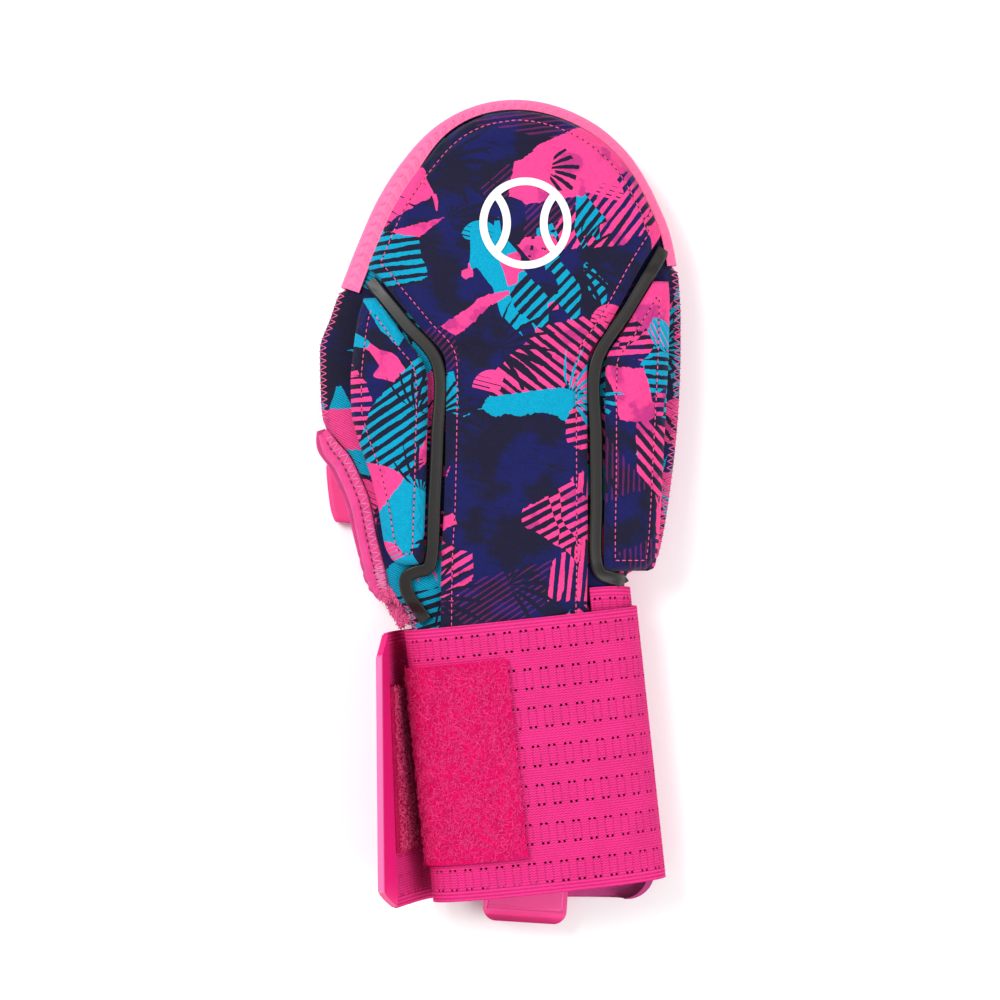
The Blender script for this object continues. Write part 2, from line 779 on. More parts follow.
def centre_pad_x(side, down):
    sign = -1 if side == "thumb" else 1
    roots = -1.0 if side == "thumb" else 1.0
    rim_edge = outline_x(side, down, lip_reach(np.full_like(down, roots), down) + CLEAR)
    edge = sign * pad_edge[side](down / LENGTH) * HALF_WIDTH
    inner = np.maximum(rim_edge, edge) if side == "thumb" else np.minimum(rim_edge, edge)
    return np.where(down / LENGTH < CENTRE_PAD[0]["at"], rim_edge, inner)


def pad_full(down):
    pressed = smooth(down, STRAP_TOP_DOWN - 3 * SLEEVE_BLEND, STRAP_TOP_DOWN - CLEAR)
    return lerp(PAD_HEIGHT, PAD_STRAPPED, pressed)


def side_pad(name, rows):
    thumb, outer = curve_through(rows, "thumb"), curve_through(rows, "outer")
    return Pad(
        name,
        left=lambda down: -thumb(down / LENGTH) * HALF_WIDTH,
        right=lambda down: outer(down / LENGTH) * HALF_WIDTH,
        start=rows[0]["at"] * LENGTH,
        end=rows[-1]["at"] * LENGTH,
        full=lambda down: np.full_like(down, PAD_HEIGHT),
        corner=2.6,
    )


pads = {
    "centre_pad": Pad(
        "centre_panel",
        left=lambda down: centre_pad_x("thumb", down),
        right=lambda down: centre_pad_x("outer", down),
        start=RIM_LIP_TIP + CLEAR,
        end=CENTRE_PAD[-1]["at"] * LENGTH,
        full=pad_full,
        corner=1.0,
    ),
    "thumb_pad": side_pad("thumb_panel", THUMB_PAD),
    "outer_pad": side_pad("outer_panel", OUTER_PAD),
}


def route(rows, count=260):
    """A centripetal curve through the middle line of a moulded strip."""
    points = np.array([(row["across"] * HALF_WIDTH, y_of(row["at"] * LENGTH)) for row in rows])
    points = np.concatenate([[2 * points[0] - points[1]], points, [2 * points[-1] - points[-2]]])
    gaps = np.linalg.norm(np.diff(points, axis=0), axis=1) ** 0.5
    curve = []
    for i in range(1, len(points) - 2):
        before, gap, after = gaps[i - 1 : i + 2]
        chords = [np.diff(points[i - 1 : i + 3], axis=0)[k] / gaps[i - 1 + k] for k in range(3)]
        wide = [(points[i + 1] - points[i - 1]) / (before + gap), (points[i + 2] - points[i]) / (gap + after)]
        leave = (chords[0] - wide[0] + chords[1]) * gap
        arrive = (chords[1] - wide[1] + chords[2]) * gap
        t = np.linspace(0, 1, 24, endpoint=False)[:, None]
        curve.append(eased(points[i], points[i + 1], leave, arrive, t))
    line = np.concatenate([*curve, points[-2:-1]])
    return evenly(line, lengths_along(line)[-1] / count)


def trim(name, rows, cut):
    """A moulded strip that lies on the back along its route, up to where the strap covers it."""
    line = route(rows)
    line = line[line[:, 1] > cut]
    half = TRIM_WIDTH / 2
    section = [
        (-half, 0),
        (-half, 0.72 * TRIM_HEIGHT),
        (-0.78 * half, TRIM_HEIGHT),
        (-0.3 * half, 0.94 * TRIM_HEIGHT),
        (0.3 * half, 0.94 * TRIM_HEIGHT),
        (0.78 * half, TRIM_HEIGHT),
        (half, 0.72 * TRIM_HEIGHT),
        (half, 0),
    ]
    across, up = np.array(section).T
    at = beside(line, right_of(line), across[None])
    z = shell_z("back", at[..., 0], at[..., 1]) + CLEAR + up
    return rolled(name, rounded(at_height(at, z)))


def binding_rings(part):
    """The sections of the folded tape along one edge of the thumb hole: a flat band, a groove and a roll."""
    sign = 1 if part == "back" else -1
    share = np.linspace(HOLE_TOP + 0.006, HOLE_END - 0.018, 190)
    down = share * LENGTH
    line = np.stack([shell_x(part, "thumb", down), y_of(down)], axis=-1)
    begun = smooth(share, HOLE_TOP - 0.01, HOLE_TOP + 0.03)
    taper = np.minimum(begun, smooth(HOLE_END - share, 0, 0.05))
    width = BINDING_WIDTH * (0.35 + 0.65 * taper) * (1 if part == "back" else 0.8)
    height = BINDING_HEIGHT * (0.55 + 0.45 * taper)
    along = lengths_along(line)
    bunch = 1 + 0.16 * waves(along, along * 0, 5.2) * smooth(share, 0.55, 0.62)
    middle = shell_point(part, np.full_like(down, -1.0), down)[:, 2] + sign * 0.5 * height
    section = np.array([
        (0, -0.35), (0, 0.12), (0.06, 0.3), (0.24, 0.38), (0.4, 0.28), (0.48, 0.02), (0.56, 0.18),
        (0.66, 0.44), (0.8, 0.5), (0.94, 0.34), (1, 0.05), (1, -0.25), (0.8, -0.48), (0.35, -0.5),
    ])
    out, up = section[:, 0][None], sign * section[:, 1][None]
    reach = CLEAR + out * (width * bunch)[:, None]
    z = middle[:, None] + up * (height * bunch)[:, None]
    z = z - sign * 0.18 * out * height[:, None] * open_share(down)[:, None]
    return rounded(at_height(beside(line, right_of(line), reach), z), 1)


def guard():
    """The moulded ground plate, with shallow grip bars on its flat underside."""
    thumb, outer = curve_through(GUARD, "thumb"), curve_through(GUARD, "outer")
    start, end = GUARD[0]["at"] * LENGTH, GUARD[-1]["at"] * LENGTH
    down = np.linspace(start, end, 270)
    left, right = -thumb(down / LENGTH) * HALF_WIDTH, outer(down / LENGTH) * HALF_WIDTH
    share = (0.5 * across_steps(124) + np.linspace(-0.5, 0.5, 125) + 1) / 2
    x = lerp(left[:, None], right[:, None], share[None])
    y = np.broadcast_to(y_of(down)[:, None], x.shape)
    plan = np.stack([x, y], axis=-1)
    sides = [np.stack([edge, y_of(down)], axis=-1) for edge in (left, right)]
    outline = evenly(closed(np.concatenate([sides[0], sides[1][::-1]])), 0.6)
    edge = distance_to(plan, outline)
    rest = 1 - np.clip(edge / GUARD_ROUND, 0, 1)
    bars = smooth(np.abs(((y + 0.5 * np.abs(x - 2)) / 9) % 1 - 0.5), 0.13, 0.2) * smooth(edge, 7, 8.5)
    low = 0.45 * SOLE_LIFT * rest**2 + 0.55 * (1 - bars) * smooth(edge, 7, 8.5)
    carved = shell_z("palm", x, y) - CLEAR
    high = np.minimum(GUARD_WALL - 0.8 * np.clip(1 - edge / 1.6, 0, 1) ** 2, carved)
    high = np.maximum(high, low + 0.3)
    return soften(slab("ground_plate", at_height(plan, high), at_height(plan, low)), 50)


def super_part(value, power):
    return np.sign(value) * np.abs(value) ** (2 / power)


def coil():
    """The strap's path round the sleeve, seen along the sleeve, in even steps, with its length."""
    over_pad = 2 * CLEAR + PAD_STRAPPED + STRAP_WALL / 2 - offset_at(-1.5 * math.pi)
    angle = np.linspace(START_ANGLE, LAST_ANGLE, 900)
    offset = offset_at(angle)
    upper = np.sin(angle) > 0
    power = np.where(upper, BACK_POWER, PALM_POWER)
    corner = np.float64(STRAP_CORNER_DOWN)
    top = back_height(corner) + np.where(angle < -math.pi, over_pad, 0)
    rise = np.where(upper, top, palm_depth(corner))
    across = (WRIST_WIDTH / 2 + offset) * super_part(np.cos(angle), power)
    up = SEAM_HEIGHT + (rise + offset) * super_part(np.sin(angle), power)
    turns = np.stack([across, up], axis=-1)
    floor = up[-1]
    fold = WRIST_WIDTH / 2 + FIRST_OFFSET + TURN * 1.7
    curl = np.array([
        (-0.2 * WRIST_WIDTH, floor),
        (-0.4 * WRIST_WIDTH, floor + 0.02 * CURL_HEIGHT),
        (-fold + 1, floor + 0.06 * CURL_HEIGHT),
        (-fold - 0.45 * CURL_REACH, 0.3 * CURL_HEIGHT),
        (-fold - 0.7 * CURL_REACH, 0.65 * CURL_HEIGHT),
        (-fold - CURL_REACH * 0.82, CURL_HEIGHT),
        (-fold - CURL_REACH * 1.1, CURL_HEIGHT + TAB_LENGTH),
    ])
    before = np.concatenate([curl[:1], curl[:-1]])
    after = np.concatenate([curl[1:], curl[-1:]])
    slopes = (after - before) / 2
    pieces = eased(curl[:-1], curl[1:], slopes[:-1], slopes[1:], np.linspace(0, 1, 40)[:, None, None])
    path = np.concatenate([turns, pieces.transpose(1, 0, 2).reshape(-1, 2)])
    keep = np.concatenate([[True], np.linalg.norm(np.diff(path, axis=0), axis=1) > 0.01])
    return evenly(path[keep], 0.35)


PATH = coil()
PATH_LENGTHS = lengths_along(PATH)
PATH_END = PATH_LENGTHS[-1]
PATH_AHEAD = directions(PATH)
TAB_FROM = PATH_END - TAB_LENGTH
CLOTH_END = TAB_FROM - CLEAR
CURL_FROM = TAB_FROM - CURL_HEIGHT
LOOP_FROM = PATH_LENGTHS[np.argmax((PATH[:, 0] < 0) & (PATH[:, 1] > 1.25 * SEAM_HEIGHT))]


def strap_point(distance, side, out):
    """A point of the strap: distance along its path, side towards the fingers, out from its mid face."""
    across, up, ahead_x, ahead_y = (
        np.interp(distance, PATH_LENGTHS, column) for column in (*PATH.T, *PATH_AHEAD.T)
    )
    cant = STRAP_CANT * (1 - smooth(distance, 0, 0.2 * PATH_END))
    flare = CURL_FLARE * smooth(distance, CURL_FROM, PATH_END) * (0.5 - side / STRAP_WIDTH)
    x = across - ahead_y * out - flare
    z = up + ahead_x * out
    low = side + cant - STRAP_WIDTH / 2
    cos, sin = math.cos(WRIST_TILT), math.sin(WRIST_TILT)
    start_x, start_y = STRAP_TOP["across"] * HALF_WIDTH, y_of(STRAP_TOP_DOWN)
    points = (start_x + x * cos - low * sin, start_y + x * sin + low * cos, z)
    return np.stack(np.broadcast_arrays(*points), axis=-1)


def hole_lines():
    """The places of the punched holes' edges along the strap and across it, with what lies between them."""
    period = np.array([0, 1.1, 1.1 + HOLE_SIZE, 3.0, 3.0 + HOLE_SIZE])
    starts = np.arange(0, CLOTH_END - HOLE_PITCH, HOLE_PITCH)
    along = np.append((starts[:, None] + period[None]).ravel(), [starts[-1] + HOLE_PITCH, CLOTH_END])
    punched = np.append(np.tile([False, True, False, True, False], len(starts)), [False])
    rows = HOLE_MARGIN - STRAP_WIDTH / 2 + ROW_PITCH * np.arange(HOLE_ROWS)
    edges = np.stack([rows - HOLE_SIZE / 2, rows + HOLE_SIZE / 2, rows + ROW_PITCH / 2], axis=-1)
    across = np.concatenate([[-STRAP_WIDTH / 2], edges.ravel()[:-1], [STRAP_WIDTH / 2]])
    row = np.append([False], np.tile([True, False, False], HOLE_ROWS)[:-1])
    return along, punched, across, row


def strap():
    """The elastic strap, punched with its rows of holes."""
    along, punched, across, row = hole_lines()
    distance, side = np.meshgrid(along, across, indexing="ij")
    points = strap_point(distance, side, 0.0)
    faces = quads(*points.shape[:2])
    holes = (punched[:, None] & row[None, :]).ravel()
    uv = np.stack([distance, side], axis=-1).reshape(-1, 2)
    piece = new_piece("elastic_strap", points.reshape(-1, 3), faces[~holes][:, ::-1].tolist(), uv)
    modified(piece, "SOLIDIFY", thickness=STRAP_WALL * MM, offset=0.0)
    return soften(piece, 50)


def curls(count, start, end, wide, out, rise=1.0, longest=2.7):
    """Short curly fibres that lie over a patch of the strap, and rise from its face."""
    random = np.random.default_rng(5)
    middle = start + 0.4 + (end - start - 0.8) * random.random(count)
    side = wide * (random.random(count) - 0.5)
    heading, bend = 2 * math.pi * random.random(count), 2.6 * (random.random(count) - 0.5)
    length = longest * (0.45 + 0.55 * random.random(count))
    share = np.linspace(-0.5, 0.5, 5)[None, :]
    way = heading[:, None] + bend[:, None] * 2 * share
    step = length[:, None] / 4
    ahead = np.cumsum(np.cos(way), axis=1) * step
    across = np.cumsum(np.sin(way), axis=1) * step
    lift = rise * (0.25 + 0.35 * (1 - 4 * share**2) * random.random(count)[:, None])
    return list(strap_point(middle[:, None] + ahead, side[:, None] + across, out + lift))


def strip(name, start, end, half, low, high, step, relief=None, taper=0.0):
    """What is sewn to the strap between two places along it, with a relief on its outer or its inner face."""
    along = np.linspace(start, end, round((end - start) / step) + 1)
    wide = np.linspace(-1, 1, round(2 * half / step) + 1)
    cut = taper * (along - start) / (end - start)
    side = wide[None, :] * (half - cut)[:, None]
    distance = np.broadcast_to(along[:, None], side.shape)
    raised = relief(distance, side) if relief else 0
    outer = strap_point(distance, side, high + (raised if high > 0 else 0))
    inner = strap_point(distance, side, low - (raised if high <= 0 else 0))
    uv = np.stack([distance, side], axis=-1)
    return soften(slab(name, outer[:, ::-1], inner[:, ::-1], uv[:, ::-1]), 50)


def thread_tubes(name, lines, radius=THREAD, sides=6):
    """Many short tubes of thread in one piece, each through a line of points, with closed round ends."""
    points, faces, count = [], [], 0
    turn = np.linspace(0, 2 * math.pi, sides, endpoint=False)
    for line in lines:
        line = np.asarray(line, float)
        ahead = directions(line)
        side = np.cross(ahead, (0, 0, 1.0))
        side /= np.maximum(1e-6, np.linalg.norm(side, axis=1, keepdims=True))
        up = np.cross(side, ahead)
        thick = np.full(len(line), radius)
        thick[0] = thick[-1] = 0.35 * radius
        ring = side[:, None] * np.cos(turn)[None, :, None] + up[:, None] * np.sin(turn)[None, :, None]
        rings = line[:, None] + ring * thick[:, None, None]
        number = count + np.arange(len(line) * sides).reshape(len(line), sides)
        after = np.roll(number, -1, axis=1)
        walls = np.stack([number[:-1], number[1:], after[1:], after[:-1]], axis=-1).reshape(-1, 4)
        faces += walls.tolist() + [number[0].tolist(), number[-1][::-1].tolist()]
        points.append(rings.reshape(-1, 3))
        count += len(line) * sides
    piece = new_piece(name, np.concatenate(points), faces)
    return soften(piece, 80)


class Surface:
    """Finds the height of finished pieces, so that threads and emblem lie on them."""

    def __init__(self, *pieces):
        graph = bpy.context.evaluated_depsgraph_get()
        self.trees = [BVHTree.FromObject(piece, graph) for piece in pieces]

    def height(self, x, y, otherwise=0.0):
        start = Vector(put((x, y, 80)))
        hits = [tree.ray_cast(start, Vector((0, 0, -1)))[0] for tree in self.trees]
        found = [hit.z / MM for hit in hits if hit is not None]
        return max(found) if found else otherwise

    def laid(self, plan, lift):
        return np.array([(x, y, self.height(x, y) + lift) for x, y in plan])


def running_stitches(surface, line, first=0.0, length=STITCH_LENGTH):
    """A row of stitches along a line of the plan, each dipping into the cloth at its two ends."""
    places = evenly(line, STITCH_PITCH / 8)
    along = lengths_along(places)
    stitches = []
    for start in np.arange(first, along[-1] - STITCH_PITCH, STITCH_PITCH):
        at = start + np.linspace(0, length, 6)
        plan = np.stack([np.interp(at, along, places[:, i]) for i in range(2)], axis=-1)
        stitch = surface.laid(plan, 0)
        stitch[:, 2] = lerp(stitch[0, 2], stitch[-1, 2], np.linspace(0, 1, 6))
        stitch[:, 2] += THREAD * np.array([-0.9, 0.45, 0.85, 0.85, 0.45, -0.9])
        stitches.append(stitch)
    return stitches


def bunched(surface, start, end, count, spread):
    """Threads that lie bunched over each other along a short line of the plan."""
    random = np.random.default_rng(11)
    ahead = np.array(end) - start
    sideways = np.array([-ahead[1], ahead[0]]) / np.linalg.norm(ahead)
    threads = []
    for _ in range(count):
        middle = start + ahead * random.random() + sideways * spread * (random.random() - 0.5)
        way = math.atan2(ahead[1], ahead[0]) + 1.7 * (random.random() - 0.5)
        turn = way + 2.0 * (random.random() - 0.5) * np.linspace(-0.5, 0.5, 8)
        steps = np.stack([np.cos(turn), np.sin(turn)], axis=-1) * (0.18 + 0.22 * random.random())
        plan = middle + np.cumsum(steps, axis=0) - steps.sum(axis=0) / 2
        heights = surface.laid(plan, 0)[:, 2]
        top = max(heights.max(), SEAM_HEIGHT + 1) + 0.9 * random.random() - 0.3
        threads.append(at_height(plan, top - 1.1 * np.linspace(-1, 1, 8) ** 2))
    return threads


def ball_emblem(surface):
    """The plain emblem on the centre pad: a ring and the two seams of a ball."""
    middle = np.array([EMBLEM_AT["across"] * HALF_WIDTH, y_of(EMBLEM_AT["at"] * LENGTH)])
    ring = EMBLEM_RADIUS - EMBLEM_LINE / 2
    inner = EMBLEM_RADIUS - EMBLEM_LINE + 0.1
    lines = [(np.zeros(2), ring, np.linspace(-math.pi, math.pi, 161))]
    meet = (EMBLEM_SPREAD**2 + EMBLEM_SEAM**2 - inner**2) / (2 * EMBLEM_SPREAD * EMBLEM_SEAM)
    reach = math.acos(meet)
    for side in (-1, 1):
        angle = np.linspace(-reach, reach, 61) + (0 if side < 0 else math.pi)
        lines.append((np.array([side * EMBLEM_SPREAD, 0]), EMBLEM_SEAM, angle))
    half = EMBLEM_LINE / 2
    section = [(-half, 0.05), (-half, 0.8 * EMBLEM_HEIGHT)]
    section += [(-0.85 * half, EMBLEM_HEIGHT), (-0.5 * half, EMBLEM_HEIGHT)]
    section += [(-across, up) for across, up in reversed(section)]
    parts = []
    for i, (centre, radius, angle) in enumerate(lines):
        rings = []
        for turn in angle:
            way = np.array([math.cos(turn), math.sin(turn)])
            plan = [middle + centre + way * (radius + across) for across, _ in section]
            rings.append([(x, y, surface.height(x, y) + up) for (x, y), (_, up) in zip(plan, section)])
        parts.append(rolled(f"ball_emblem_{i}", np.array(rings)))
    bpy.ops.object.select_all(action="DESELECT")
    for part in parts:
        part.select_set(True)
    bpy.context.view_layer.objects.active = parts[0]
    bpy.ops.object.join()
    parts[0].name = "ball_emblem"
    return parts[0]


def whip_stitches(side, start, end, pitch, reach):
    """Overlock threads of a side seam: a zigzag over each face, whose tips bend round the edge."""
    threads = []
    sign = 1 if side == "thumb" else -1
    for at in np.arange(start, end, pitch):
        turn = np.linspace(0, 1, 13)
        place = at + pitch * turn
        inward = reach * np.abs(1 - 2 * turn)
        edge = outline_x(side, place)
        x, y = edge + sign * (inward - 0.12), y_of(place)
        inside = np.where(inward > 0.35, x, edge + sign * 0.35)
        tip = 1 - smooth(inward, 0, 0.5)
        for part, lift in (("back", 0.9 * THREAD), ("palm", -0.9 * THREAD)):
            z = shell_z(part, inside, y) + lift
            threads.append(np.stack([x, y, lerp(z, lerp(z, SEAM_HEIGHT, 0.4), tip)], axis=-1))
    return threads


def crest(rings, first, last):
    """Part of a binding's sections, with the length along their highest points."""
    line = rings[first:last]
    top = np.argmax(line[:, :, 2], axis=1)
    return line, lengths_along(line[np.arange(len(line)), top])


def groove_stitches(rings, column, first, last, length, pitch):
    """A row of stitches along one column of a binding's sections."""
    line, along = crest(rings, first, last)
    stitches = []
    for at in np.arange(0.5, along[-1] - length, pitch):
        row = np.interp(at + length * np.linspace(0, 1, 5), along, np.arange(len(line)))
        lift = np.sin(np.linspace(0.2, math.pi - 0.2, 5))[:, None] * np.array([0, 0, THREAD])
        stitches.append(sampled(line, row, np.full(5, float(column))) + lift)
    return stitches


def zigzag(rings, low, high, first, last, pitch):
    """Zigzag threads on the flat band of a binding, between two columns of its sections."""
    line, along = crest(rings, first, last)
    places = np.arange(0, along[-1], pitch / 2)
    stitches = []
    for i in range(len(places) - 1):
        share = np.linspace(0, 1, 7)
        row = np.interp(lerp(places[i], places[i + 1], share), along, np.arange(len(line)))
        column = lerp(low, high, share if i % 2 else 1 - share)
        stitches.append(sampled(line, row, column) + np.array([0, 0, 0.8 * THREAD]))
    return stitches


def edit_chosen(piece, kind, domain, test):
    """Starts edit mode with only those edges or faces selected that pass a test."""
    bpy.ops.object.mode_set(mode="EDIT")
    bpy.ops.mesh.select_all(action="DESELECT")
    bpy.ops.object.mode_set(mode="OBJECT")
    for item in getattr(piece.data, domain):
        item.select = test(item)
    bpy.ops.object.mode_set(mode="EDIT")
    bpy.ops.mesh.select_mode(type=kind)


def pull_tab():
    """The moulded tab at the heel: a block whose corners are rounded, laid on the inside of the heel."""
    bpy.ops.mesh.primitive_cube_add(size=1)
    tab = bpy.context.object
    tab.name = tab.data.name = "heel_tab"
    down = LENGTH + PULL_REACH
    middle = np.array([sleeve_middle(down) - PULL_SHIFT, y_of(down) + PULL_LENGTH / 2])
    tab.scale = (PULL_WIDTH * MM, PULL_LENGTH * MM, PULL_WALL * MM)
    bpy.ops.object.transform_apply(location=False, rotation=False, scale=True)

    def outer_corner(edge):
        low, high = (tab.data.vertices[i].co for i in edge.vertices)
        return abs(low.z - high.z) > PULL_WALL * MM / 2 and low.y < 0

    edit_chosen(tab, "EDGE", "edges", outer_corner)
    bpy.ops.mesh.bevel(offset=PULL_ROUND * MM, segments=8, affect="EDGES")
    edit_chosen(tab, "FACE", "polygons", lambda face: face.normal.z > 0.9)
    bpy.ops.mesh.inset(thickness=1.6 * MM)
    bpy.ops.transform.translate(value=(0, 0, -0.25 * MM))
    bpy.ops.mesh.inset(thickness=0.35 * MM, depth=0.25 * MM)
    bpy.ops.object.mode_set(mode="OBJECT")
    modified(tab, "BEVEL", width=0.28 * MM, segments=3, limit_method="ANGLE", angle_limit=math.radians(30))
    tilt = -0.6 * WRIST_TILT
    cos, sin = math.cos(tilt), math.sin(tilt)
    inside = float(shell_z("palm", middle[0], y_of(LENGTH))) + PALM_WALL + PULL_LIFT + PULL_WALL / 2
    places = np.empty(3 * len(tab.data.vertices))
    tab.data.vertices.foreach_get("co", places)
    places = places.reshape(-1, 3) / MM
    x = places[:, 0] * cos - places[:, 1] * sin + middle[0]
    y = places[:, 0] * sin + places[:, 1] * cos + middle[1]
    tab.data.vertices.foreach_set("co", put(np.stack([x, y, places[:, 2] + inside], axis=-1)).ravel())
    return soften(tab, 35)


TONE = 0.8


def colour(red, green, blue):
    """A screen colour from 0 to 255 as light values, toned down for lights that bleach the floor."""
    shares = [value / 255 for value in (red, green, blue)]
    levels = [share / 12.92 if share <= 0.04045 else ((share + 0.055) / 1.055) ** 2.4 for share in shares]
    return (*[TONE * level for level in levels], 1.0)


NAVY = colour(29, 28, 54)
BLUE = colour(26, 30, 92)
INK = colour(26, 26, 40)
VIOLET = colour(142, 34, 122)
PRINT_PINK = colour(254, 72, 148)
TEAL = colour(0, 164, 202)


class Level:
    """A number that varies over a surface. Its operators add Math nodes."""

    def __init__(self, finish, socket):
        self.finish, self.socket = finish, socket

    def math(self, operation, *values):
        inputs = dict(enumerate(values))
        node = self.finish.node("ShaderNodeMath", {"operation": operation}, inputs)
        return Level(self.finish, node.outputs[0])

    def __add__(self, other):
        return self.math("ADD", self, other)

    __radd__ = __add__

    def __mul__(self, other):
        return self.math("MULTIPLY", self, other)

    __rmul__ = __mul__

    def __sub__(self, other):
        return self.math("SUBTRACT", self, other)

    def __rsub__(self, other):
        return self.math("SUBTRACT", other, self)

    def above(self, other):
        return self.math("GREATER_THAN", self, other)

    def below(self, other):
        return self.math("LESS_THAN", self, other)

    def fraction(self):
        return self.math("FRACT", self)

    def sine(self):
        return self.math("SINE", self)

    def cosine(self):
        return self.math("COSINE", self)

    def absolute(self):
        return self.math("ABSOLUTE", self)

    def soft(self, low, high):
        """0 below low, 1 above high and smooth between them."""
        settings = {"interpolation_type": "SMOOTHSTEP"}
        inputs = {"Value": self, "From Min": low, "From Max": high}
        return Level(self.finish, self.finish.node("ShaderNodeMapRange", settings, inputs).outputs[0])


class Finish:
    """One material. Vectors and distances are in millimetres."""

    def __init__(self, name, constants):
        self.material = bpy.data.materials.new(name)
        self.material.use_nodes = True
        self.tree = self.material.node_tree
        self.shader = self.tree.nodes["Principled BSDF"]
        for socket, value in constants.items():
            self.shader.inputs[socket].default_value = value

    def node(self, kind, settings=None, inputs=None):
        node = self.tree.nodes.new(kind)
        for name, value in (settings or {}).items():
            setattr(node, name, value)
        for name, value in (inputs or {}).items():
            self.feed(node.inputs[name], value)
        return node

    def feed(self, socket, value):
        if isinstance(value, Level):
            value = value.socket
        if isinstance(value, bpy.types.NodeSocket):
            self.tree.links.new(value, socket)
        else:
            socket.default_value = value

    def place(self, source="Object", shift=(0, 0, 0), turn=0.0):
        """The place on the piece, or on its cloth with source UV."""
        where = self.node("ShaderNodeTexCoord").outputs[source]
        inputs = {"Vector": where, "Scale": (1000, 1000, 1000), "Location": shift, "Rotation": (0, 0, turn)}
        return self.node("ShaderNodeMapping", None, inputs).outputs[0]

    def parts(self, vector):
        node = self.node("ShaderNodeSeparateXYZ", None, {0: vector})
        return [Level(self, socket) for socket in node.outputs]

    def joined(self, x, y, z=0.0):
        return self.node("ShaderNodeCombineXYZ", None, {0: x, 1: y, 2: z}).outputs[0]

    def noise(self, vector, size, detail=2.0, rough=0.5):
        """Soft noise from about 0.3 to 0.7, whose blots are about size across."""
        inputs = {"Vector": vector, "Scale": 1 / size, "Detail": detail, "Roughness": rough}
        return Level(self, self.node("ShaderNodeTexNoise", None, inputs).outputs[0])

    def cells(self, vector, size, metric="EUCLIDEAN"):
        """Cells about size across: three random levels and the middle of each one."""
        inputs = {"Vector": vector, "Scale": 1 / size}
        node = self.node("ShaderNodeTexVoronoi", {"distance": metric}, inputs)
        return self.parts(node.outputs["Color"]), node.outputs["Position"]

    def mix(self, share, low, high):
        return self.node("ShaderNodeMix", {"data_type": "RGBA"}, {0: share, 6: low, 7: high}).outputs[2]

    def shade(self, tint, share, depth):
        """The colour made darker by up to depth where share is 1."""
        return self.mix(share * depth, tint, (0.0, 0.0, 0.0, 1.0))

    def distance(self, x, y):
        square = x * x + y * y
        return square.math("SQRT", square)

    def done(self, tint, roughness, relief):
        """The material with its colour, its roughness and its fine relief in millimetres."""
        inputs = {"Height": relief, "Distance": MM, "Strength": 1.0}
        bump = self.node("ShaderNodeBump", None, inputs).outputs[0]
        for socket, value in (("Base Color", tint), ("Roughness", roughness), ("Normal", bump)):
            self.feed(self.shader.inputs[socket], value)
        return self.material


UNDER_STRAP = -45.3  # the wrapped strap hides the print below this height of the picture


